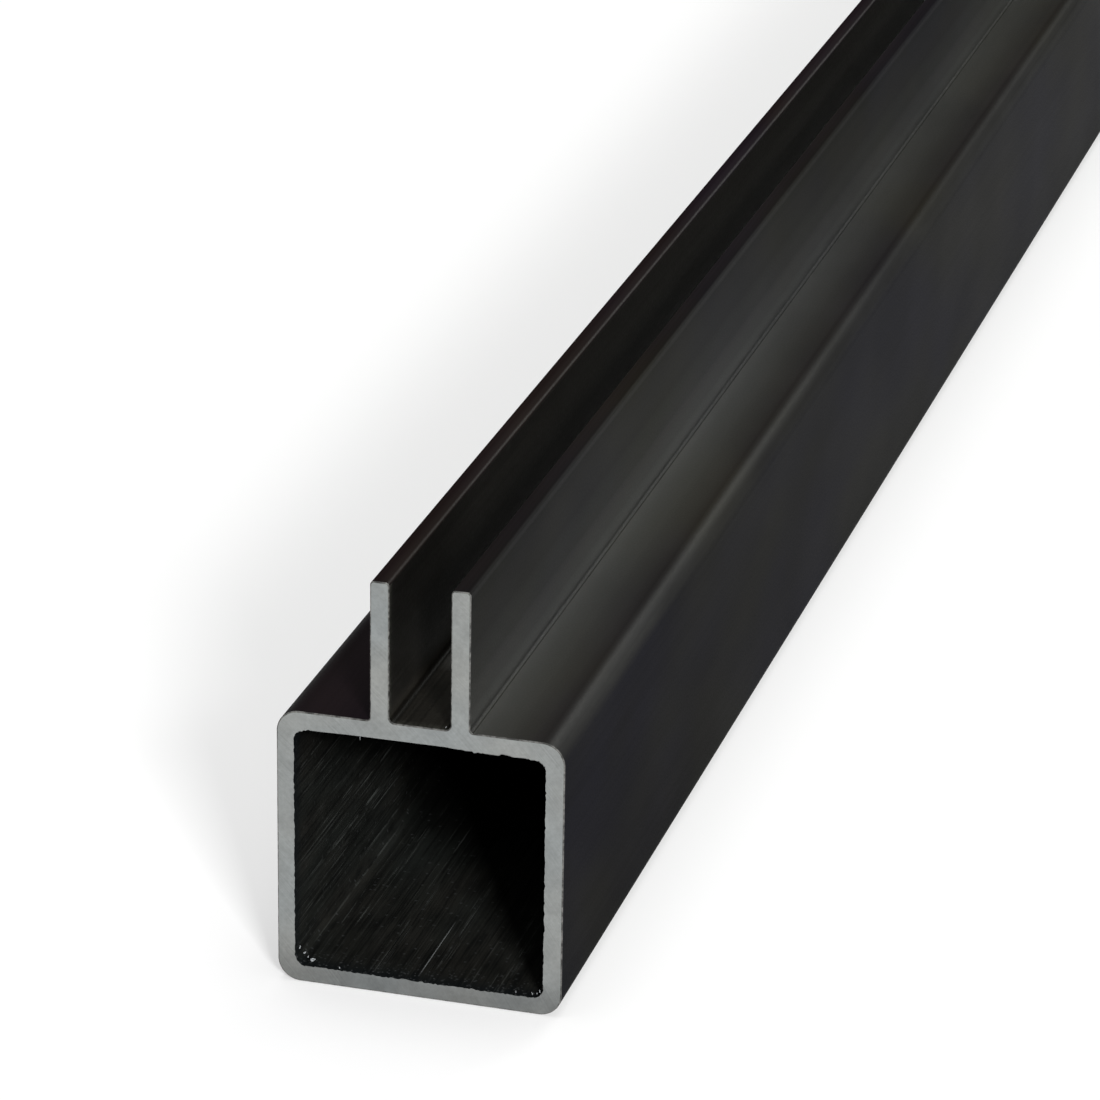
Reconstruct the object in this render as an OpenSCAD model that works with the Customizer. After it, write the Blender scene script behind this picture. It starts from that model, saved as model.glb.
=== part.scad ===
// Panel connector tube: a square extruded tube with a pair of fins standing on its top face.
// A panel edge slides into the slot between the fins, and square push-in connectors go into the open ends.
// The section lies in XZ and runs along Y. The origin is at the middle of the underside.

/* [Stock] */
// Length that the stock is cut to
stock_length = 1000; // [100:10:3000]

/* [Tube] */
// Outside width and height of the square tube
tube_size = 25.4; // [20:0.1:40]
// Thickness of the tube's walls
wall = 1.5; // [1:0.1:3]
// Radius of the tube's outside corners
corner_radius = 2; // [0.5:0.1:3]
// Radius of the corners inside the bore
bore_radius = 1; // [0.3:0.1:2]

/* [Fins] */
// Height of the fins above the tube's top face
fin_height = 12.7; // [6:0.1:20]
// Thickness of each fin
fin_thickness = 1.7; // [1:0.1:2.5]
// Clear width between the fins, where the panel goes
slot_width = 5.4; // [3:0.1:8]
// Radius of the edges along each fin's tip
tip_radius = 0.35; // [0.1:0.05:0.45]
// Fillet where a fin's outer side meets the tube
outer_root_radius = 0.3; // [0.1:0.05:0.6]
// Fillet where a fin's inner side meets the slot's floor
slot_root_radius = 0.5; // [0.1:0.05:0.8]

/* [Hidden] */
$fn = 48;
black_anodised = [0.14, 0.14, 0.145];
bore_size = tube_size - 2 * wall;
// Fins and fillets are drawn this far into the metal that they grow from, so that the section is one piece
root_depth = min(wall, fin_thickness) / 2;
fin_centre = (slot_width + fin_thickness) / 2;
fin_outer_face = slot_width / 2 + fin_thickness;

// A square with a true arc in each corner
module rounded_square(size, radius) {
    straight = size - 2 * radius;
    square([size, straight], center = true);
    square([straight, size], center = true);
    for (x = [-1, 1], z = [-1, 1])
        translate([x, z] * straight / 2) circle(radius);
}

// One fin, upright on z = 0, with both edges of its tip rounded
module fin_section() {
    flat = fin_thickness - 2 * tip_radius;
    translate([-fin_thickness / 2, -root_depth])
        square([fin_thickness, root_depth + fin_height - tip_radius]);
    translate([-flat / 2, 0]) square([flat, fin_height]);
    for (x = [-1, 1])
        translate([x * flat / 2, fin_height - tip_radius]) circle(tip_radius);
}

// Concave fillet in the corner at the origin, filling towards +x and +z
module root_fillet(radius) {
    difference() {
        translate([-root_depth, -root_depth]) square(radius + root_depth);
        translate([radius, radius]) circle(radius);
    }
}

module tube_section() {
    translate([0, tube_size / 2]) difference() {
        rounded_square(tube_size, corner_radius);
        rounded_square(bore_size, bore_radius);
    }
}

module fins_section() {
    translate([0, tube_size]) for (side = [0, 1]) mirror([side, 0]) {
        translate([fin_centre, 0]) fin_section();
        translate([fin_outer_face, 0]) root_fillet(outer_root_radius);
        translate([slot_width / 2, 0]) mirror([1, 0]) root_fillet(slot_root_radius);
    }
}

module panel_connector_tube() {
    color(black_anodised)
        rotate([90, 0, 0]) linear_extrude(stock_length, center = true) {
            tube_section();
            fins_section();
        }
}

panel_connector_tube();
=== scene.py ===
import math

import bpy
from mathutils import Matrix, Vector


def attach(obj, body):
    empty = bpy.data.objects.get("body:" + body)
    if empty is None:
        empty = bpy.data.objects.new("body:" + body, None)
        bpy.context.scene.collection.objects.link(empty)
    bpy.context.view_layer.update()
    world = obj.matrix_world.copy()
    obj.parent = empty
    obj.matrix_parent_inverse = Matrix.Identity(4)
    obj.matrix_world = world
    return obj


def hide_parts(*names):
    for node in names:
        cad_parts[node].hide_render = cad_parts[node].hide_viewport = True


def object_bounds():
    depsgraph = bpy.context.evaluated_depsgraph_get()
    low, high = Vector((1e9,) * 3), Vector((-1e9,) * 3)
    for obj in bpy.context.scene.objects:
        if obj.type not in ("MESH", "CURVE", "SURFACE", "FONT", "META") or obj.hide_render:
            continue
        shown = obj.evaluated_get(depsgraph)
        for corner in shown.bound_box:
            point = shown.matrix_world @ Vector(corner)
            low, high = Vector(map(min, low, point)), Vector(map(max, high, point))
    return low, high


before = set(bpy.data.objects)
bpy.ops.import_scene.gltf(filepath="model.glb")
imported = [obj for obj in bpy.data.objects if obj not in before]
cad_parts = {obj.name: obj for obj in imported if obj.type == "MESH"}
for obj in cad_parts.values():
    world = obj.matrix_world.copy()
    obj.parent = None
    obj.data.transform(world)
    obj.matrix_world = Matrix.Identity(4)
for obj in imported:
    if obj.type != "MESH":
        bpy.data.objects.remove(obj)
boxLow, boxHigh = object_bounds()
tubeNode = "panel_connector_tube"
print("frame loaded:", [round(v, 4) for v in (*boxLow, *boxHigh)])


# ---- camera, at the photograph's angle
cameraLook = {
    "azimuth": 15.50,       # degrees to the right of the tube's end
    "elevation": 21.92,     # degrees above the floor
    "roll": 0.837,          # degrees
    "lens": 163.42,         # mm on a 36 mm sensor
    # where the underside of the near end lies, as the camera sees it: right, up, away
    "endFromCamera": (-0.0112843, -0.0384259, 0.4286948),
}


def addCamera(look):
    turn, tilt, roll = (math.radians(look[key]) for key in ("azimuth", "elevation", "roll"))
    away = Vector((-math.sin(turn) * math.cos(tilt), math.cos(turn) * math.cos(tilt), -math.sin(tilt)))
    level = Vector((math.cos(turn), math.sin(turn), 0))
    upright = level.cross(away)
    right = math.cos(roll) * level + math.sin(roll) * upright
    up = math.cos(roll) * upright - math.sin(roll) * level
    toRight, toUp, toAway = look["endFromCamera"]
    place = Vector((0, boxLow.y, 0)) - toRight * right - toUp * up - toAway * away
    bpy.ops.object.camera_add(location=place)
    camera = bpy.context.object
    camera.name = "photoCamera"
    camera.matrix_world = Matrix.Translation(place) @ Matrix((right, up, -away)).transposed().to_4x4()
    camera.data.lens = look["lens"]
    camera.data.clip_start = 0.01
    bpy.context.scene.camera = camera


addCamera(cameraLook)
bpy.context.scene.view_settings.view_transform = "Standard"
print("camera placed")


# ---- floor, world and lamps
studio = {
    "floorSize": 40.0,
    "floorDrop": 0.00005,       # how far it lies under the tube
    "floorColour": (0.97, 0.97, 0.97), "floorRoughness": 0.9, "floorShine": 0.1,
    "floorWhite": 0.45,         # share of plain white in what the camera sees of it near the tube
    "floorReach": (0.7, 2.6),   # from the first to the second distance it becomes all white
    "worldColour": (1.0, 1.0, 1.0),
    "worldStrength": 0.28,
    # name: (where it stands, what it points at, width, height, watts, colour), in metres
    "lamps": {
        "keySoftbox": ((1.420, -2.836, 1.233), (0.0, -0.5, 0.01), 0.50, 0.42, 93.0, (1.0, 1.0, 1.0)),
        "topSoftbox": ((-0.1, -0.1, 3.0), (0.0, -0.3, 0.0), 2.0, 2.0, 39.0, (1.0, 1.0, 1.0)),
        "backSoftbox": ((0.442, 1.273, 0.826), (0.0, -0.4, 0.02), 0.75, 0.70, 9.5, (0.97, 1.0, 0.94)),
    },
}


def addStudio(look):
    bpy.ops.mesh.primitive_plane_add(size=look["floorSize"], location=(0, 0, boxLow.z - look["floorDrop"]))
    floor = bpy.context.object
    floor.name = "studioFloor"
    paper = bpy.data.materials.new("palePaper")
    paper.use_nodes = True
    shader = paper.node_tree.nodes["Principled BSDF"]
    shader.inputs["Base Color"].default_value = (*look["floorColour"], 1)
    shader.inputs["Roughness"].default_value = look["floorRoughness"]
    shader.inputs["Specular IOR Level"].default_value = look["floorShine"]
    # the camera and reflections see the paper partly as plain white, so that its shadows stay soft
    nodes, links = paper.node_tree.nodes, paper.node_tree.links
    path, white = nodes.new("ShaderNodeLightPath"), nodes.new("ShaderNodeEmission")
    seen = path.outputs["Is Camera Ray"]
    for ray in ("Is Glossy Ray", "Is Transmission Ray"):
        either = nodes.new("ShaderNodeMath")
        either.operation = "MAXIMUM"
        links.new(seen, either.inputs[0])
        links.new(path.outputs[ray], either.inputs[1])
        seen = either.outputs[0]
    # plain white takes over away from the object, where the lamps no longer reach
    length, far = nodes.new("ShaderNodeVectorMath"), nodes.new("ShaderNodeMapRange")
    length.operation = "LENGTH"
    links.new(nodes.new("ShaderNodeTexCoord").outputs["Object"], length.inputs[0])
    links.new(length.outputs["Value"], far.inputs[0])
    for number, value in enumerate((*look["floorReach"], look["floorWhite"], 1.0), start=1):
        far.inputs[number].default_value = value
    share = nodes.new("ShaderNodeMath")
    share.operation = "MULTIPLY"
    links.new(seen, share.inputs[0])
    links.new(far.outputs[0], share.inputs[1])
    mix = nodes.new("ShaderNodeMixShader")
    links.new(share.outputs[0], mix.inputs[0])
    links.new(shader.outputs[0], mix.inputs[1])
    links.new(white.outputs[0], mix.inputs[2])
    links.new(mix.outputs[0], nodes["Material Output"].inputs["Surface"])
    floor.data.materials.append(paper)
    world = bpy.data.worlds.new("softSurround")
    world.use_nodes = True
    background = world.node_tree.nodes["Background"]
    background.inputs["Color"].default_value = (*look["worldColour"], 1)
    background.inputs["Strength"].default_value = look["worldStrength"]
    bpy.context.scene.world = world
    for name, (place, aim, width, height, watts, colour) in look["lamps"].items():
        bpy.ops.object.light_add(type="AREA", location=place)
        lamp = bpy.context.object
        lamp.name = name
        lamp.data.shape = "RECTANGLE"
        lamp.data.size, lamp.data.size_y = width, height
        lamp.data.energy = watts
        lamp.data.color = colour
        lamp.visible_camera = False
        lamp.rotation_euler = (Vector(aim) - Vector(place)).to_track_quat("-Z", "Y").to_euler()


addStudio(studio)
print("studio lit")


# ---- picking parts of a mesh and finishing it
def deselectAll():
    if bpy.context.object and bpy.context.object.mode != "OBJECT":
        bpy.ops.object.mode_set(mode="OBJECT")
    bpy.ops.object.select_all(action="DESELECT")


def useOnly(obj):
    deselectAll()
    obj.select_set(True)
    bpy.context.view_layer.objects.active = obj


def startPick(kind):
    bpy.ops.object.mode_set(mode="EDIT")
    bpy.ops.mesh.select_mode(type=kind)
    bpy.ops.mesh.select_all(action="DESELECT")
    bpy.ops.object.mode_set(mode="OBJECT")


def pickFaces(obj, test):
    # each of the three picks leaves edit mode on, with only what passes the test selected
    startPick("FACE")
    for face in obj.data.polygons:
        face.select = bool(test(face.center, face.normal))
    bpy.ops.object.mode_set(mode="EDIT")


def pickEdges(obj, test):
    startPick("EDGE")
    points = obj.data.vertices
    for edge in obj.data.edges:
        edge.select = bool(test(points[edge.vertices[0]].co, points[edge.vertices[1]].co))
    bpy.ops.object.mode_set(mode="EDIT")


def pickPoints(obj, test):
    startPick("VERT")
    for point in obj.data.vertices:
        point.select = bool(test(point.co))
    bpy.ops.object.mode_set(mode="EDIT")


def near(a, b, reach=0.00002):
    return abs(a - b) < reach


def applyModifier(obj, kind, **values):
    bpy.ops.object.mode_set(mode="OBJECT")
    bpy.ops.object.modifier_add(type=kind)
    modifier = obj.modifiers[-1]
    for key, value in values.items():
        setattr(modifier, key, value)
    bpy.ops.object.modifier_apply(modifier=modifier.name)


# ---- the extruded tube with its fins
tube = {
    "size": 0.0254, "length": 1.0, "wall": 0.0015,
    "cornerRadius": 0.002, "boreRadius": 0.001,
    "finHeight": 0.0127, "finThickness": 0.0017, "slotWidth": 0.0054,
    "tipRadius": 0.00035, "outerRootRadius": 0.0003, "slotRootRadius": 0.0005,
    "edgeBreak": 0.00011,       # width of the worn edge round each sawn end
    "steps": 12,                # facets in a small rounding; a corner has twice as many
    "cutterLength": 1.02,       # of the block that cuts the bore, against the tube's
    "smoothAngle": 25,          # degrees; sharper edges than this stay sharp
}
halfSize = tube["size"] / 2
halfBore = halfSize - tube["wall"]
halfSlot = tube["slotWidth"] / 2
endY = tube["length"] / 2
topZ = tube["size"]
tipZ = topZ + tube["finHeight"]
finSide = halfSlot + tube["finThickness"]


def roundLengthwise(radius, steps, test, obj):
    # rounds the edges that run along the tube and whose x and z pass the test
    pickEdges(obj, lambda a, b: near(a.x, b.x) and near(a.z, b.z) and not near(a.y, b.y) and test(a.x, a.z))
    bpy.ops.mesh.bevel(offset=radius, offset_type="OFFSET", segments=steps, profile=0.5,
                       affect="EDGES", clamp_overlap=False)


def buildTube(sizes):
    deselectAll()
    bpy.ops.mesh.primitive_cube_add(size=1, location=(0, 0, halfSize), scale=(topZ, sizes["length"], topZ))
    obj = bpy.context.object
    obj.name = "extrudedTube"
    bpy.ops.object.transform_apply(location=True, rotation=True, scale=True)
    # the top face is cut into strips, and the two strips under the fins are drawn up
    for x in (-finSide, -halfSlot, halfSlot, finSide):
        pickFaces(obj, lambda centre, normal: normal.z > 0.9)
        bpy.ops.mesh.bisect(plane_co=(x, 0, 0), plane_no=(1, 0, 0))
    pickFaces(obj, lambda centre, normal: normal.z > 0.9 and halfSlot < abs(centre.x) < finSide)
    bpy.ops.mesh.extrude_region_move(TRANSFORM_OT_translate={"value": (0, 0, sizes["finHeight"])})
    for side in (-1, 1):
        pickFaces(obj, lambda centre, normal: normal.y * side > 0.9)
        bpy.ops.mesh.dissolve_faces()
    steps = sizes["steps"]
    roundLengthwise(sizes["cornerRadius"], 2 * steps, lambda x, z: near(abs(x), halfSize), obj)
    roundLengthwise(sizes["tipRadius"], steps, lambda x, z: near(z, tipZ), obj)
    roundLengthwise(sizes["slotRootRadius"], steps, lambda x, z: near(z, topZ) and near(abs(x), halfSlot), obj)
    roundLengthwise(sizes["outerRootRadius"], steps, lambda x, z: near(z, topZ) and near(abs(x), finSide), obj)
    # the outline of each sawn end is slightly worn
    pickEdges(obj, lambda a, b: near(a.y, b.y) and near(abs(a.y), endY))
    bpy.ops.mesh.bevel(offset=sizes["edgeBreak"], offset_type="OFFSET", segments=2, profile=0.5,
                       affect="EDGES", clamp_overlap=False)
    return obj


def cutBore(obj, sizes):
    bore, length = 2 * halfBore, sizes["length"] * sizes["cutterLength"]
    deselectAll()
    bpy.ops.mesh.primitive_cube_add(size=1, location=(0, 0, halfSize), scale=(bore, length, bore))
    cutter = bpy.context.object
    bpy.ops.object.transform_apply(location=True, rotation=True, scale=True)
    roundLengthwise(sizes["boreRadius"], sizes["steps"], lambda x, z: True, cutter)
    useOnly(obj)
    applyModifier(obj, "BOOLEAN", operation="DIFFERENCE", object=cutter, solver="EXACT")
    bpy.data.objects.remove(cutter)


tubePiece = buildTube(tube)
cutBore(tubePiece, tube)
print("tube cut:", len(tubePiece.data.vertices), "points,", len(tubePiece.data.polygons), "faces")


# ---- the saw's burr round the mouth of the bore
burr = {
    "lip": 0.00025,             # how far in from the end the rim is ragged
    "cuts": 170,                # points along each straight side of the rim
    "overhang": 0.993,          # the rim closes in to this share of the bore
    # group: (direction, coarse reach, fine reach)
    "waves": {"topRim": ("Z", 0.00022, 0.00028), "bottomRim": ("Z", 0.00012, 0.00018),
              "sideRim": ("X", 0.00009, 0.00014)},
    "scales": (0.0009, 0.00032),    # coarse and fine, in metres
    "chipDepth": 0.00022,       # how far in from the end the slivers stand
    "chipRaise": 0.3,           # how far its middle is from its place on the rim, as a share of its length
    "chipFoot": 0.5, "chipTip": 1 / 9,      # radius at its foot and its tip, as shares of its width
    "chipRagged": 0.26,         # how far its points are shaken, as a share of its width
    "chipFlat": 0.6,            # how thick it is, along the tube
    # slivers that the saw left hanging: x, z, length, width, degrees from upright
    "chips": [
        (-0.00530, 0.02385, 0.00062, 0.00009, 183), (0.00610, 0.02364, 0.00018, 0.00008, 168),
        (-0.00972, 0.00202, 0.00042, 0.00030, 62), (-0.01080, 0.00304, 0.00030, 0.00013, 15),
        (-0.01040, 0.00262, 0.00026, 0.00016, 50), (-0.01005, 0.00228, 0.00020, 0.00013, 20),
        (0.01075, 0.00205, 0.00026, 0.00008, -12), (0.01047, 0.00182, 0.00020, 0.00008, 18),
        (0.01010, 0.00178, 0.00020, 0.00009, -30), (0.00860, 0.00172, 0.00018, 0.00010, 8),
        (-0.00720, 0.00165, 0.00016, 0.00010, -10), (0.00222, 0.02556, 0.00014, 0.00005, 32),
    ],
}


def inBore(point, reach=0.0001):
    return abs(point.x) < halfBore + reach and abs(point.z - halfSize) < halfBore + reach


def inSlot(point):
    return abs(point.x) < halfSlot + 0.00001 and point.z > topZ - 0.0001


def atEnd(point, depth=0.0):
    return near(abs(point.y), endY - depth, 0.00001)


def roughenRims(obj, look):
    lip = look["lip"]
    for side in (-1, 1):
        pickFaces(obj, lambda centre, normal: abs(normal.y) < 0.1 and inBore(centre))
        bpy.ops.mesh.bisect(plane_co=(0, side * (endY - lip), 0), plane_no=(0, 1, 0))
    pickEdges(obj, lambda a, b: inBore(a) and inBore(b) and (a - b).length > 0.002
              and ((atEnd(a) and atEnd(b)) or (atEnd(a, lip) and atEnd(b, lip)))
              and (near(a.x, b.x) or near(a.z, b.z)))
    bpy.ops.mesh.subdivide(number_cuts=look["cuts"], smoothness=0)
    pickPoints(obj, lambda p: atEnd(p) and inBore(p))
    bpy.ops.transform.resize(value=(look["overhang"], 1, look["overhang"]), center_override=(0, 0, halfSize))
    cornerStart = halfBore * look["overhang"] - tube["boreRadius"]
    groups = {
        "topRim": lambda p: p.z - halfSize > cornerStart,
        "bottomRim": lambda p: p.z - halfSize < -cornerStart,
        "sideRim": lambda p: abs(p.x) > cornerStart,
    }
    for name, test in groups.items():
        pickPoints(obj, lambda p: atEnd(p) and inBore(p) and test(p))
        obj.vertex_groups.active = obj.vertex_groups.new(name=name)
        bpy.ops.object.vertex_group_assign()
        bpy.ops.object.mode_set(mode="OBJECT")
    for step, scale in enumerate(look["scales"]):
        ripple = bpy.data.textures.new("sawRipple", "CLOUDS")
        ripple.noise_type = "HARD_NOISE"
        ripple.noise_scale = scale
        ripple.noise_depth = 1
        for name, (way, *reach) in look["waves"].items():
            applyModifier(obj, "DISPLACE", texture=ripple, texture_coords="LOCAL", direction=way, mid_level=0.5,
                          strength=reach[step], vertex_group=name)
    obj.vertex_groups.clear()


def addChips(obj, look, metal):
    # bent slivers of metal, joined to the tube at the near end and, turned round, at the far end
    for end in (-1, 1):
        for number, (x, z, length, width, lean) in enumerate(look["chips"]):
            deselectAll()
            tilt = math.radians(lean) * -end
            raised = length * look["chipRaise"]
            place = Vector((x * -end + math.sin(tilt) * raised, end * (endY - look["chipDepth"]),
                            z + math.cos(tilt) * raised))
            bpy.ops.mesh.primitive_cone_add(vertices=6, radius1=width * look["chipFoot"],
                                            radius2=width * look["chipTip"], depth=length,
                                            location=place, rotation=(0, tilt, 0))
            chip = bpy.context.object
            bpy.ops.object.transform_apply(location=True, rotation=True, scale=True)
            pickPoints(chip, lambda point: True)
            bpy.ops.mesh.subdivide(number_cuts=1, smoothness=0.0)
            bpy.ops.transform.vertex_random(offset=width * look["chipRagged"], uniform=0.8, normal=0.0,
                                            seed=number + 20 * end + 30)
            bpy.ops.transform.resize(value=(1, look["chipFlat"], 1), center_override=place)
            bpy.ops.object.mode_set(mode="OBJECT")
            chip.data.materials.append(metal)
            obj.select_set(True)
            bpy.context.view_layer.objects.active = obj
            bpy.ops.object.join()


roughenRims(tubePiece, burr)
print("rims roughened:", len(tubePiece.data.vertices), "points")


# ---- building blocks of the materials
class Sheet:
    # one material's node tree, with short ways to add to it
    def __init__(self, name):
        self.material = bpy.data.materials.new(name)
        self.material.use_nodes = True
        self.nodes = self.material.node_tree.nodes
        self.links = self.material.node_tree.links
        self.shader = self.nodes["Principled BSDF"]
        self.place = self.nodes.new("ShaderNodeTexCoord").outputs["Object"]
        split = self.add("ShaderNodeSeparateXYZ", inputs={"Vector": self.place})
        self.x, self.y, self.z = split.outputs
        self.fromMiddle = self.math("ABSOLUTE", self.y)

    def add(self, kind, settings=(), inputs=()):
        node = self.nodes.new(kind)
        for key, value in dict(settings).items():
            setattr(node, key, value)
        for key, value in dict(inputs).items():
            if isinstance(value, bpy.types.NodeSocket):
                self.links.new(value, node.inputs[key])
            else:
                node.inputs[key].default_value = value
        return node

    def math(self, operation, a, b=0.0):
        return self.add("ShaderNodeMath", {"operation": operation}, {0: a, 1: b}).outputs[0]

    def chain(self, operation, values):
        result = values[0]
        for value in values[1:]:
            result = self.math(operation, result, value)
        return result

    def times(self, *values):
        return self.chain("MULTIPLY", values)

    def plus(self, *values):
        return self.chain("ADD", values)

    def apart(self, value, middle):
        return self.math("ABSOLUTE", self.math("SUBTRACT", value, middle))

    def tint(self, a, b):
        return self.add("ShaderNodeVectorMath", {"operation": "MULTIPLY"}, {0: a, 1: b}).outputs[0]

    def spread(self, value, low, high, toLow=0.0, toHigh=1.0):
        return self.add("ShaderNodeMapRange", {}, {0: value, 1: low, 2: high, 3: toLow, 4: toHigh}).outputs[0]

    def vary(self, noise, reach):
        # a noise's usual range, spread over the reach
        return self.spread(noise, 0.3, 0.7, *reach)

    def blend(self, share, a, b):
        node = self.add("ShaderNodeMix", {"data_type": "RGBA"}, {"Factor": share})
        for socket, value in ((node.inputs[6], a), (node.inputs[7], b)):
            if isinstance(value, bpy.types.NodeSocket):
                self.links.new(value, socket)
            else:
                socket.default_value = (*value, 1)
        return node.outputs[2]

    def mixNumber(self, share, a, b):
        return self.add("ShaderNodeMix", {"data_type": "FLOAT"}, {0: share, 2: a, 3: b}).outputs[0]

    def only(self, mask, amount):
        # the amount inside the mask, 1 outside it
        return self.mixNumber(mask, 1.0, amount)

    def noise(self, scale, detail=2.0, roughness=0.5, shift=(0.0, 0.0, 0.0)):
        # on the object's own coordinates, with its own scale along x, y and z
        mapping = self.add("ShaderNodeMapping", {}, {"Vector": self.place, "Location": shift, "Scale": scale})
        return self.add("ShaderNodeTexNoise", {}, {"Vector": mapping.outputs[0], "Scale": 1.0,
                                                   "Detail": detail, "Roughness": roughness}).outputs[0]

    def dots(self, scale, reach):
        # 1 in the middle of scattered specks, 0 past their reach
        cells = self.add("ShaderNodeTexVoronoi", {}, {"Vector": self.place, "Scale": scale, "Randomness": 1.0})
        return self.spread(cells.outputs["Distance"], 0.0, reach, 1.0, 0.0)

    def ramp(self, value, stops):
        node = self.add("ShaderNodeValToRGB", {}, {0: value})
        points = node.color_ramp.elements
        while len(points) < len(stops):
            points.new(0.5)
        for point, (position, colour) in zip(points, stops):
            point.position = position
            point.color = (*(colour if isinstance(colour, tuple) else (colour,) * 3), 1)
        return node.outputs["Color"]

    def follow(self, value, stops):
        # follows a list of (place in metres, amount or colour)
        low, high = stops[0][0], stops[-1][0]
        stops = [((at - low) / (high - low), amount) for at, amount in stops]
        return self.ramp(self.spread(value, low, high), stops)

    def bump(self, height, strength, distance):
        node = self.add("ShaderNodeBump", {}, {"Height": height, "Strength": strength, "Distance": distance})
        self.links.new(node.outputs["Normal"], self.shader.inputs["Normal"])

    def wire(self, name, value):
        self.links.new(value, self.shader.inputs[name])


# In the materials below, a name that ends in X, Y or Z, in Middle or in Off is a mask. It goes from 0 at
# the first number to 1 at the second, by x, y or z, by the distance from the middle of the length, or by
# the distance from a line. A name that ends in Span may add what it gives at the two, instead of 0 and 1.
# A name that ends in Noise holds a noise's scale along x, y and z, its detail, roughness and shift.

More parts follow.
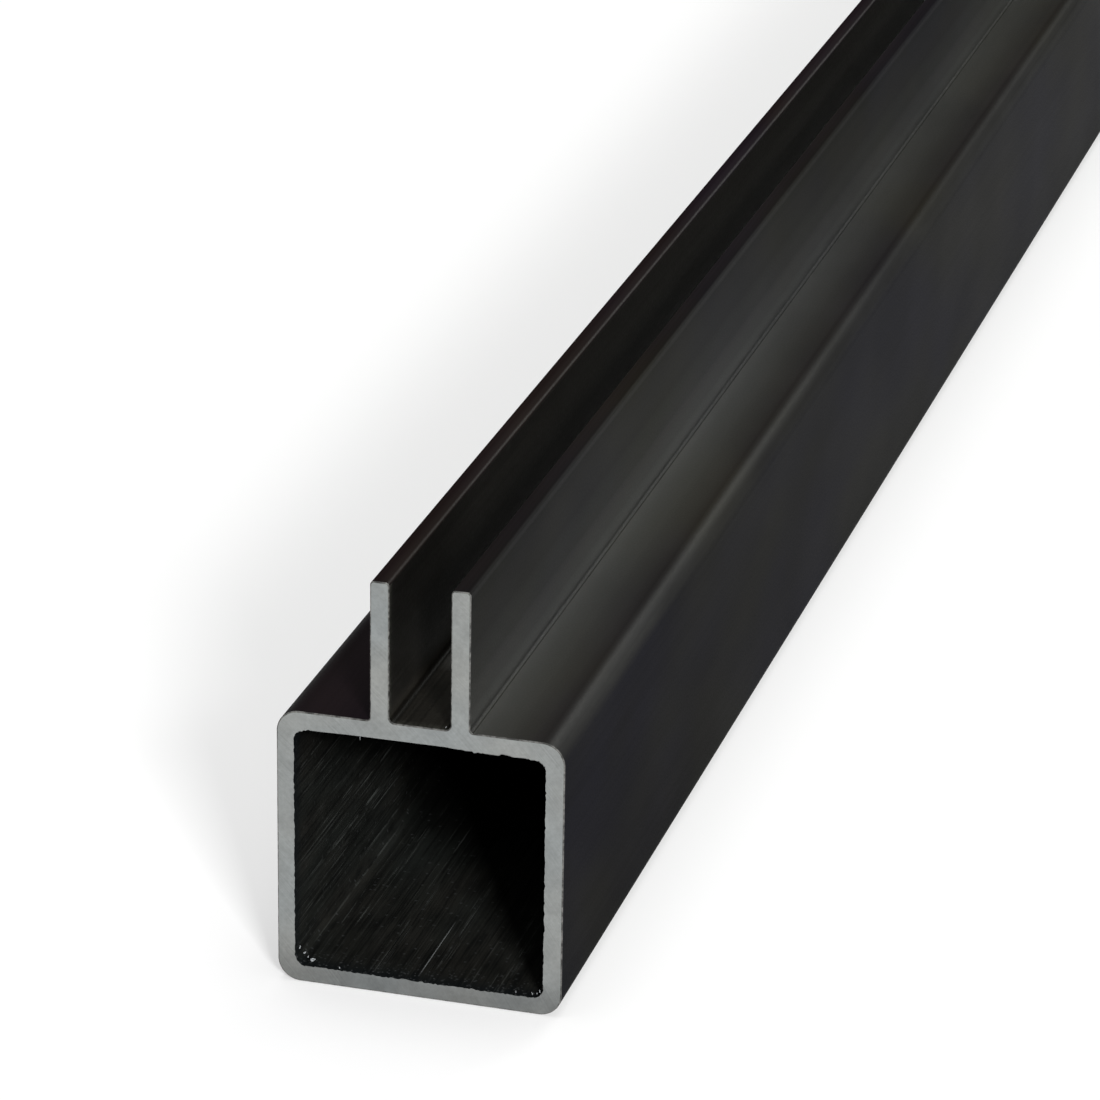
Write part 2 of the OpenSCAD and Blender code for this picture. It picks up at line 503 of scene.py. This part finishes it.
# ---- black anodising on the outside, satin round the fins and dull on the handled sides
outerSkin = {
    # from side to side, x in metres: the dye's colour, gloss, roughness
    "across": [
        (-0.0127, (0.0086, 0.0084, 0.0088), 0.010, 0.60),
        # the dye on the top left of the left fin is darker, a painted shade, with a violet tint
        (-0.0107, (0.0090, 0.0060, 0.0068), 0.015, 0.48),
        (-0.0044, (0.0092, 0.0058, 0.0067), 0.015, 0.42),
        (-0.0036, (0.0104, 0.0074, 0.0082), 0.150, 0.42),
        (-0.0031, (0.0104, 0.0078, 0.0082), 0.740, 0.42),
        (0.0036, (0.0096, 0.0082, 0.0082), 0.350, 0.40),
        (0.0043, (0.0092, 0.0088, 0.0084), 0.350, 0.38),
        (0.0044, (0.0090, 0.0094, 0.0086), 1.000, 0.38),
        (0.0047, (0.0094, 0.0094, 0.0076), 0.285, 0.38),
        (0.0053, (0.0094, 0.0094, 0.0074), 0.300, 0.38),
        (0.0064, (0.0095, 0.0093, 0.0071), 0.320, 0.38),
        (0.0075, (0.0096, 0.0092, 0.0068), 0.310, 0.38),
        # towards the start of the right corner's rounding the dye is painted paler, a painted sheen
        (0.0087, (0.0102, 0.0095, 0.0074), 0.200, 0.38),
        (0.0100, (0.0108, 0.0098, 0.0084), 0.105, 0.38),
        (0.0108, (0.0114, 0.0103, 0.0090), 0.042, 0.40),
        (0.0117, (0.0092, 0.0088, 0.0080), 0.028, 0.40),
        (0.0125, (0.0086, 0.0086, 0.0086), 0.014, 0.50),
        (0.0127, (0.0084, 0.0086, 0.0095), 0.006, 0.60),
    ],
    # from the fins' roots to their tips, z in metres: the share of that gloss
    "upward": [(0.0250, 1.0), (0.0256, 1.0), (0.0262, 0.85), (0.0275, 0.27), (0.0300, 0.064), (0.0330, 0.020),
               (0.0374, 0.007), (0.03776, 0.038), (0.03800, 0.060), (0.03806, 0.010), (0.0381, 0.010)],
    # by the distance from the middle of the length, in metres: the share of that gloss
    # on the strip beside the right fin, on the fins, and on the corner's rounding
    "stripX": (0.00442, 0.0047), "arcX": (0.0104, 0.0110),
    "along": [(0.0, 0.42), (0.310, 0.42), (0.345, 0.48), (0.410, 0.80), (0.500, 1.0)],
    "finAlong": [(0.0, 0.58), (0.310, 0.58), (0.345, 0.66), (0.410, 0.88), (0.450, 0.95), (0.500, 0.90)],
    "arcAlong": [(0.0, 0.20), (0.345, 0.20), (0.362, 0.22), (0.397, 0.34), (0.425, 0.53), (0.456, 0.70),
                 (0.476, 0.76), (0.500, 0.98)],
    # and of that on the right fin's tip
    "tipX": (0.0034, 0.0036), "tipZ": (0.0374, 0.0377), "rightTip": 0.35,
    # and of that by the right fin's root, further in
    "rootX": (0.0040, 0.0043), "pastRootX": (0.0068, 0.0046), "rootMiddle": (0.430, 0.365), "farRoot": 0.48,
    # and of that on the bright line along that root, by the distance from the middle
    "lineAt": 0.0045, "lineOff": (0.00025, 0.00015), "lineZ": (0.0259, 0.0256),
    "rootLine": [(0.0, 1.0), (0.350, 1.0), (0.410, 0.60), (0.460, 0.78), (0.482, 1.0), (0.500, 1.0)],
    # and of that in the rounding of that root, dull from the die, by how far it has turned from the fin
    "roundingOff": (0.00032, 0.00029), "roundingZ": (0.0250, 0.0252),
    "rootAcross": [(-0.0003, 1.0), (-0.0001, 0.70), (0.0, 0.12), (0.0001, 0.05), (0.0003, 0.05)],
    # the gloss that the right side gains away from the sawn end
    "sideX": (0.0122, 0.0126),
    "sideSheen": [(0.0, 0.0160), (0.300, 0.0160), (0.346, 0.0122), (0.381, 0.0108), (0.411, 0.0084),
                  (0.460, 0.0020), (0.485, 0.0), (0.5, 0.0)],
    # gloss of the left side and of the left fin's outer face
    "leftX": (-0.0110, -0.0126), "leftFinOff": (0.00020, 0.00004), "leftFinZ": (0.0258, 0.0266),
    "leftSheen": 0.020,
    # more gloss where a face is looked at squarely: by how far it turns away, from 0 to 1
    "squareOn": [(0.0, 0.24), (0.35, 0.20), (0.50, 0.0), (1.0, 0.0)],
    # the corner's rounding is painted paler, a painted sheen: how much by height, and by the distance from the middle
    "wearAndSheen": (0.0250, 0.0250, 0.0238), "arcSheenNoise": ((900, 90, 900), 3.0, 0.6), "arcSheenSpan": (0.35, 0.60, 0.8, 1.1),
    "arcSheenUp": [(0.0234, 0.0), (0.0238, 0.10), (0.0241, 0.30), (0.0244, 0.75), (0.0247, 1.0), (0.0249, 0.75),
                 (0.0251, 0.10), (0.0254, 0.0)],
    "arcSheenAlong": [(0.0, 0.60), (0.345, 0.60), (0.362, 0.65), (0.385, 0.40), (0.410, 0.24), (0.430, 0.24),
                    (0.455, 0.52), (0.475, 0.84), (0.500, 0.74)],
    "streakNoise": ((2600, 5, 2600), 3.0), "streaks": (0.88, 1.12), "streakHeight": 0.8,
    "patchNoise": ((75, 40, 75), 2.0), "patchSpan": (0.35, 0.65), "patches": (0.88, 1.12), "patchGloss": (0.93, 1.07),
    "grainNoise": ((5200, 4200, 5200), 2.0, 0.6), "grain": (0.90, 1.10),
    # soft clouds in the dye, from olive to violet
    "cloudNoise": ((60, 24, 60), 2.0, 0.5, (4.4, 0.0, 2.2)), "cloudSpan": (0.38, 0.62),
    "olive": (1.16, 1.12, 0.94), "violet": (0.92, 0.90, 1.10),
    "bump": (0.07, 0.00005),                # strength, and depth in metres
}


def makeOuterSkin(look):
    sheet = Sheet("blackAnodised")
    colours, glosses, roughs = ([(row[0], row[part]) for row in look["across"]] for part in (1, 2, 3))
    streaks = sheet.vary(sheet.noise(*look["streakNoise"]), look["streaks"])
    patches = sheet.spread(sheet.noise(*look["patchNoise"]), *look["patchSpan"], *look["patches"])
    grain = sheet.noise(*look["grainNoise"])
    onArc = sheet.spread(sheet.x, *look["arcX"])
    # the dye, with its clouds and its painted shade and sheen from side to side, and the painted sheen on the
    # corner's rounding
    clouds = sheet.spread(sheet.noise(*look["cloudNoise"]), *look["cloudSpan"])
    dyeWithPaintedLight = sheet.tint(sheet.follow(sheet.x, colours), sheet.blend(clouds, look["olive"], look["violet"]))
    arcSheen = sheet.times(sheet.follow(sheet.z, look["arcSheenUp"]), sheet.follow(sheet.fromMiddle, look["arcSheenAlong"]),
                      onArc, sheet.spread(sheet.noise(*look["arcSheenNoise"]), *look["arcSheenSpan"]))
    sheet.wire("Base Color", sheet.tint(sheet.blend(arcSheen, dyeWithPaintedLight, look["wearAndSheen"]), sheet.times(streaks, patches)))
    sheet.wire("Roughness", sheet.times(sheet.follow(sheet.x, roughs), sheet.vary(grain, look["grain"])))
    # how the gloss fades along the tube
    fade = sheet.mixNumber(sheet.spread(sheet.x, *look["stripX"]),
                           sheet.follow(sheet.fromMiddle, look["finAlong"]),
                           sheet.follow(sheet.fromMiddle, look["along"]))
    fade = sheet.mixNumber(onArc, fade, sheet.follow(sheet.fromMiddle, look["arcAlong"]))
    onTip = sheet.times(sheet.spread(sheet.x, *look["tipX"]), sheet.spread(sheet.z, *look["tipZ"]))
    byRoot = sheet.times(sheet.spread(sheet.x, *look["rootX"]), sheet.spread(sheet.x, *look["pastRootX"]),
                         sheet.spread(sheet.fromMiddle, *look["rootMiddle"]))
    onLine = sheet.times(sheet.spread(sheet.apart(sheet.x, look["lineAt"]), *look["lineOff"]),
                         sheet.spread(sheet.z, *look["lineZ"]))
    # the rounding's place: outwards from the root's edge, and round it
    outwards = sheet.math("SUBTRACT", sheet.plus(sheet.x, sheet.z), finSide + topZ)
    around = sheet.plus(sheet.math("SUBTRACT", sheet.x, sheet.z), topZ - finSide)
    inRounding = sheet.times(sheet.spread(outwards, *look["roundingOff"]), sheet.spread(sheet.z, *look["roundingZ"]))
    gloss = sheet.times(sheet.follow(sheet.x, glosses), sheet.follow(sheet.z, look["upward"]), fade,
                        sheet.only(onTip, look["rightTip"]), sheet.only(byRoot, look["farRoot"]),
                        sheet.only(onLine, sheet.follow(sheet.fromMiddle, look["rootLine"])),
                        sheet.only(inRounding, sheet.follow(around, look["rootAcross"])))
    # what the sides and the squarely seen faces gain
    onSide = sheet.spread(sheet.x, *look["sideX"])
    onLeftFin = sheet.times(sheet.spread(sheet.apart(sheet.x, -finSide), *look["leftFinOff"]),
                            sheet.spread(sheet.z, *look["leftFinZ"]))
    onLeft = sheet.math("MAXIMUM", onLeftFin, sheet.spread(sheet.x, *look["leftX"]))
    turnedAway = sheet.add("ShaderNodeLayerWeight", {}, {"Blend": 0.5}).outputs["Facing"]
    gloss = sheet.plus(gloss, sheet.times(onSide, sheet.follow(sheet.fromMiddle, look["sideSheen"])),
                       sheet.times(onLeft, look["leftSheen"]), sheet.follow(turnedAway, look["squareOn"]))
    patchGloss = sheet.spread(patches, *look["patches"], *look["patchGloss"])
    sheet.wire("Specular IOR Level", sheet.times(gloss, patchGloss))
    sheet.bump(sheet.plus(grain, sheet.times(streaks, look["streakHeight"])), *look["bump"])
    return sheet.material


# ---- the slot's inside, olive black with the die's fine lines
slotSkin = {
    "deep": (0.0104, 0.0095, 0.0078), "nearMouth": (0.0096, 0.0090, 0.0079),
    # from the slot's floor to its mouth, z in metres
    "gloss": [(0.0253, 0.015), (0.0258, 0.02), (0.0261, 0.30), (0.0265, 0.58), (0.0275, 0.76), (0.0320, 0.58),
              (0.0340, 0.31), (0.0358, 0.18), (0.0381, 0.15)],
    "deeperMiddle": (0.48, 0.40), "deeper": (1.0, 1.25),        # more gloss further in
    # painted light and shade near the sawn end, against further in, by the same heights: the foot of the walls
    # is painted paler and the upper walls darker; a ramp holds no more than 1, so the list has a quarter of it
    "nearEndMiddle": (0.474, 0.486), "nearEndTimes": 4.0,
    "paintedLightNearEnd": [(0.0254, 0.27), (0.0257, 0.36), (0.0259, 0.74), (0.0263, 0.60), (0.0269, 0.30), (0.0278, 0.24),
                (0.0288, 0.20), (0.0300, 0.17), (0.0330, 0.14), (0.0381, 0.14)],
    # painted light: how much paler the foot of the walls is from 10 mm in, where the right fin shades it
    "bandMiddle": (0.4915, 0.4885), "bandZ": (0.0268, 0.0261), "paintedLightLowBand": 1.75,
    # gloss of its floor, further in than the camera sees
    "floorX": (0.0022, 0.0019), "floorZ": (0.0262, 0.0255), "floorMiddle": (0.488, 0.482), "floorGloss": 0.50,
    # painted shade: how pale the rounding between wall and floor is
    "rootX": (0.0021, 0.0023), "rootZ": (0.0260, 0.0257), "rootShade": 0.46,
    # just inside the sawn end
    "wearAndSheen": (0.030, 0.030, 0.025), "rubbedMiddle": (0.4990, 0.5), "rubbedSpan": (0.3, 0.6),
    "lineNoise": ((2700, 14, 2700), 3.0, 0.6), "lines": (0.64, 1.38),
    "speckNoise": ((3800, 3000, 3800), 2.0, 0.65), "specks": (0.8, 1.25),
    "roughness": (0.35, 0.45), "bump": (0.22, 0.00005),
}


def makeSlotSkin(look):
    sheet = Sheet("slotAnodised")
    lines = sheet.vary(sheet.noise(*look["lineNoise"]), look["lines"])
    speck = sheet.noise(*look["speckNoise"])
    aside = sheet.math("ABSOLUTE", sheet.x)
    # painted light at the foot of the walls further in, where the right fin shades them
    paintedLightLowBand = sheet.times(sheet.spread(sheet.fromMiddle, *look["bandMiddle"]), sheet.spread(sheet.z, *look["bandZ"]))
    # near the sawn end: painted light at the foot of the walls, painted shade higher up
    paintedLightNearEnd = sheet.times(sheet.follow(sheet.z, look["paintedLightNearEnd"]), look["nearEndTimes"],
                          sheet.only(paintedLightLowBand, look["paintedLightLowBand"]))
    paintedLightNearEnd = sheet.only(sheet.spread(sheet.fromMiddle, *look["nearEndMiddle"]), paintedLightNearEnd)
    base = sheet.tint(sheet.follow(sheet.z, [(topZ, look["deep"]), (tipZ, look["nearMouth"])]), paintedLightNearEnd)
    worn = sheet.times(sheet.spread(sheet.fromMiddle, *look["rubbedMiddle"]),
                       sheet.spread(speck, *look["rubbedSpan"]))
    base = sheet.blend(worn, base, look["wearAndSheen"])
    # painted shade in the rounding between wall and floor
    inRoot = sheet.times(sheet.spread(aside, *look["rootX"]), sheet.spread(sheet.z, *look["rootZ"]))
    tone = sheet.times(lines, sheet.vary(speck, look["specks"]), sheet.only(inRoot, look["rootShade"]))
    sheet.wire("Base Color", sheet.tint(base, tone))
    sheet.wire("Roughness", sheet.vary(speck, look["roughness"]))
    onFloor = sheet.times(sheet.spread(sheet.z, *look["floorZ"]), sheet.spread(aside, *look["floorX"]),
                          sheet.spread(sheet.fromMiddle, *look["floorMiddle"]), look["floorGloss"])
    walls = sheet.times(sheet.follow(sheet.z, look["gloss"]),
                        sheet.spread(sheet.fromMiddle, *look["deeperMiddle"], *look["deeper"]),
                        sheet.math("MINIMUM", paintedLightNearEnd, 1.0))
    sheet.wire("Specular IOR Level", sheet.plus(walls, onFloor))
    sheet.bump(sheet.plus(lines, speck), *look["bump"])
    return sheet.material


# ---- the bore's inside, with bright die lines, dust and one long scratch
boreSkin = {
    "dark": (0.0092, 0.0098, 0.0092), "brown": (0.0270, 0.0266, 0.0232), "green": (0.0227, 0.0257, 0.0232),
    "tintNoise": ((190, 60, 190), 2.0), "tintSpan": (0.35, 0.65), "fineNoise": ((4600, 45, 4600), 2.0, 0.6),
    "mottleNoise": ((650, 150, 650), 4.0, 0.7, (5.2, 0.0, 1.9)), "darkSpan": (0.80, 1.12, 0.95, 0.0),
    # how pale it is by height, and by the distance from the middle of the length, in metres; the fall inwards is a
    # painted shade
    "byHeight": [(0.0015, 0.85), (0.0018, 0.85), (0.0030, 0.72), (0.0060, 0.67), (0.0120, 0.63), (0.0165, 0.60),
                 (0.0230, 0.55)],
    "paintedShadeByDepth": [(0.4550, 0.22), (0.4620, 0.30), (0.4660, 0.40), (0.4690, 0.54), (0.4715, 0.80), (0.4740, 1.0),
                (0.5, 1.0)],
    # a painted shadow of the mouth's top edge: the walls darken above a line that falls away from the mouth, by
    # height plus a share of the depth
    "wallX": (0.0108, 0.0111), "slant": 0.45,
    "paintedShadowAboveLine": [(0.0190, 1.0), (0.0205, 0.80), (0.0220, 0.55), (0.0240, 0.36)],
    "mouthFloorMiddle": (0.4920, 0.4955), "mouthFloor": 0.74,
    "mouth": (0.0050, 0.0068, 0.0082), "mouthMiddle": (0.4978, 0.4996), "mouthShare": 0.7,
    # bright lines gather in bands, come and go along the tube, and crowd together at some heights
    "line": (0.112, 0.120, 0.113),
    "lineNoise": ((5600, 24, 5600), 2.0, 0.5, (1.7, 0.0, 4.3)), "lineSpan": (0.54, 0.68),
    "bandNoise": ((420, 12, 420), 1.0, 0.5, (3.1, 0.0, 7.7)), "bandSpan": (0.42, 0.62, 0.12, 1.0),
    "brokenNoise": ((1500, 280, 1500), 3.0, 0.6), "brokenSpan": (0.42, 0.60),
    "crowded": (0.0150, 0.0103, 0.0080, 0.0190), "crowdedSpan": (0.0004, 0.0011, 1.3, 0.0),
    # dust lies on its floor, and filings at its mouth; the dots' scale, and the reach of each
    "dust": (0.100, 0.106, 0.108), "dustDots": (1100.0, 0.20), "dustSpan": (0.0016, 0.0120, 0.45, 0.1575),
    "filingDots": (2600.0, 0.30), "filingMiddle": (0.4960, 0.4996), "filingSpan": (0.0020, 0.0060, 0.9, 0.15),
    "scratch": (0.20, 0.21, 0.21), "scratchAt": -0.00033, "scratchOff": (0.00006, 0.000024),
    "scratchY": (-0.4989, -0.4969), "scratchEndY": (-0.4877, -0.4907), "scratchZ": (0.0020, 0.0017),
    "roughness": 0.55, "gloss": 0.05, "bump": (0.30, 0.00008),
}


def makeBoreSkin(look):
    sheet = Sheet("boreAnodised")
    fine = sheet.noise(*look["fineNoise"])
    base = sheet.blend(sheet.spread(sheet.noise(*look["tintNoise"]), *look["tintSpan"]), look["brown"], look["green"])
    mottle = sheet.plus(fine, sheet.noise(*look["mottleNoise"]))
    base = sheet.blend(sheet.spread(mottle, *look["darkSpan"]), base, look["dark"])
    onWall = sheet.spread(sheet.math("ABSOLUTE", sheet.x), *look["wallX"])
    bands = sheet.spread(sheet.noise(*look["bandNoise"]), *look["bandSpan"])
    for height in look["crowded"]:
        close = sheet.spread(sheet.apart(sheet.z, height), *look["crowdedSpan"])
        bands = sheet.math("MAXIMUM", bands, sheet.times(close, onWall))
    lines = sheet.times(sheet.spread(sheet.noise(*look["lineNoise"]), *look["lineSpan"]), bands,
                        sheet.spread(sheet.noise(*look["brokenNoise"]), *look["brokenSpan"]))
    base = sheet.blend(lines, base, look["line"])
    # it darkens upwards; inwards it darkens as a painted shade, and on the walls above a slanting line as a painted
    # shadow of the mouth's top edge; it is darkest right at the mouth
    slanted = sheet.plus(sheet.z, sheet.times(sheet.math("SUBTRACT", endY, sheet.fromMiddle), look["slant"]))
    mouthFloor = sheet.spread(sheet.fromMiddle, *look["mouthFloorMiddle"], 1.0, look["mouthFloor"])
    pale = sheet.times(sheet.follow(sheet.z, look["byHeight"]), sheet.follow(sheet.fromMiddle, look["paintedShadeByDepth"]),
                       sheet.only(onWall, sheet.follow(slanted, look["paintedShadowAboveLine"])),
                       sheet.mixNumber(onWall, mouthFloor, 1.0))
    base = sheet.tint(base, pale)
    atMouth = sheet.times(sheet.spread(sheet.fromMiddle, *look["mouthMiddle"]), look["mouthShare"])
    base = sheet.blend(atMouth, base, look["mouth"])
    dust = sheet.times(sheet.dots(*look["dustDots"]), sheet.spread(sheet.z, *look["dustSpan"]))
    filings = sheet.times(sheet.dots(*look["filingDots"]), sheet.spread(sheet.fromMiddle, *look["filingMiddle"]),
                          sheet.spread(sheet.z, *look["filingSpan"]))
    base = sheet.blend(sheet.math("MAXIMUM", dust, filings), base, look["dust"])
    scratch = sheet.times(sheet.spread(sheet.apart(sheet.x, look["scratchAt"]), *look["scratchOff"]),
                          sheet.spread(sheet.y, *look["scratchY"]), sheet.spread(sheet.y, *look["scratchEndY"]),
                          sheet.spread(sheet.z, *look["scratchZ"]))
    sheet.wire("Base Color", sheet.blend(scratch, base, look["scratch"]))
    sheet.shader.inputs["Roughness"].default_value = look["roughness"]
    sheet.shader.inputs["Specular IOR Level"].default_value = look["gloss"]
    sheet.bump(sheet.plus(fine, lines), *look["bump"])
    return sheet.material


# ---- bare aluminium where the saw went through
sawnFace = {
    "colour": (0.313, 0.320, 0.309), "cool": (0.294, 0.311, 0.310), "coolNoise": ((110, 110, 110), 1.0),
    "coolSpan": (0.35, 0.65),
    "sawCentre": (-0.075, 0.0, -0.050),     # the middle of the blade, which the marks curve round
    # scale, detail and roughness of the marks, how much they vary, and where the fine ones come and go
    "fine": (7000.0, 3.0, 0.7), "fineMarks": (0.89, 1.08),
    "broad": (900.0, 1.0, 0.7), "broadMarks": (0.95, 1.05),
    "comeAndGoNoise": ((300, 300, 300), 3.0, 0.6, (2.3, 0.0, 6.1)), "comeAndGoSpan": (0.40, 0.60, 0.15, 1.0),
    "patchNoise": ((420, 420, 420), 3.0), "patches": (0.91, 1.08),
    "grainNoise": ((2400, 2400, 2400), 3.0, 0.6), "grain": (0.92, 1.08),
    "foot": 0.70, "footZ": (0.0008, 0.0045),        # how pale it is at the very bottom
    "pitNoise": ((6500, 6500, 6500), 2.0), "pitHeight": 0.5,
    "roughness": (0.50, 0.60), "metallic": 1.0, "bump": (0.30, 0.00003),
}


def makeSawnFace(look):
    sheet = Sheet("sawnAluminium")
    flat = sheet.tint(sheet.place, (1, 0, 1))
    arm = sheet.add("ShaderNodeVectorMath", {"operation": "DISTANCE"}, {0: flat, 1: look["sawCentre"]})
    fine, broad = (
        sheet.add("ShaderNodeTexNoise", {"noise_dimensions": "1D"},
                  {"W": arm.outputs["Value"], "Scale": scale, "Detail": detail, "Roughness": rough}).outputs[0]
        for scale, detail, rough in (look["fine"], look["broad"]))
    base = sheet.blend(sheet.spread(sheet.noise(*look["coolNoise"]), *look["coolSpan"]), look["colour"], look["cool"])
    strength = sheet.spread(sheet.noise(*look["comeAndGoNoise"]), *look["comeAndGoSpan"])
    tone = sheet.times(sheet.only(strength, sheet.vary(fine, look["fineMarks"])),
                       sheet.vary(broad, look["broadMarks"]),
                       sheet.vary(sheet.noise(*look["patchNoise"]), look["patches"]),
                       sheet.vary(sheet.noise(*look["grainNoise"]), look["grain"]),
                       sheet.spread(sheet.z, *look["footZ"], look["foot"], 1.0))
    sheet.wire("Base Color", sheet.tint(base, tone))
    sheet.wire("Roughness", sheet.vary(broad, look["roughness"]))
    sheet.shader.inputs["Metallic"].default_value = look["metallic"]
    pits = sheet.noise(*look["pitNoise"])
    sheet.bump(sheet.plus(fine, sheet.times(pits, look["pitHeight"])), *look["bump"])
    return sheet.material


# ---- the thin worn edge between the two, and the bright slivers of burr
wornEdge = {
    "dark": (0.020, 0.020, 0.018), "bare": (0.130, 0.130, 0.122), "noise": ((1800, 1800, 1800), 3.0, 0.6),
    "span": (0.40, 0.62), "roughness": (0.6, 0.4), "bump": (0.2, 0.00003),
}
burrMetal = {
    "dark": (0.03, 0.035, 0.04), "bare": (0.40, 0.42, 0.43), "noise": ((9000, 9000, 9000), 2.0),
    "span": (0.35, 0.6), "roughness": (0.35, 0.55), "bump": (0.3, 0.00003),
}


def makeWornMetal(name, look):
    sheet = Sheet(name)
    worn = sheet.noise(*look["noise"])
    sheet.wire("Base Color", sheet.blend(sheet.spread(worn, *look["span"]), look["dark"], look["bare"]))
    sheet.wire("Roughness", sheet.vary(worn, look["roughness"]))
    sheet.bump(worn, *look["bump"])
    return sheet.material


def dressTube(obj):
    for material in (makeOuterSkin(outerSkin), makeSlotSkin(slotSkin), makeBoreSkin(boreSkin),
                     makeSawnFace(sawnFace), makeWornMetal("wornEdge", wornEdge)):
        obj.data.materials.append(material)
    places = {
        1: lambda centre, normal: abs(normal.y) < 0.1 and inSlot(centre),
        2: lambda centre, normal: abs(normal.y) < 0.9 and inBore(centre),
        3: lambda centre, normal: abs(normal.y) > 0.95 and atEnd(centre),
        4: lambda centre, normal: 0.1 < abs(normal.y) < 0.95 and not inBore(centre),
    }
    for number, test in places.items():
        pickFaces(obj, test)
        obj.active_material_index = number
        bpy.ops.object.material_slot_assign()
    bpy.ops.object.mode_set(mode="OBJECT")
    bpy.ops.object.shade_smooth_by_angle(angle=math.radians(tube["smoothAngle"]))
    applyModifier(obj, "WEIGHTED_NORMAL", mode="FACE_AREA", weight=100, keep_sharp=True)


dressTube(tubePiece)
addChips(tubePiece, burr, makeWornMetal("burrMetal", burrMetal))
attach(tubePiece, "root")
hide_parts(tubeNode)
print("tube dressed:", len(tubePiece.data.polygons), "faces")
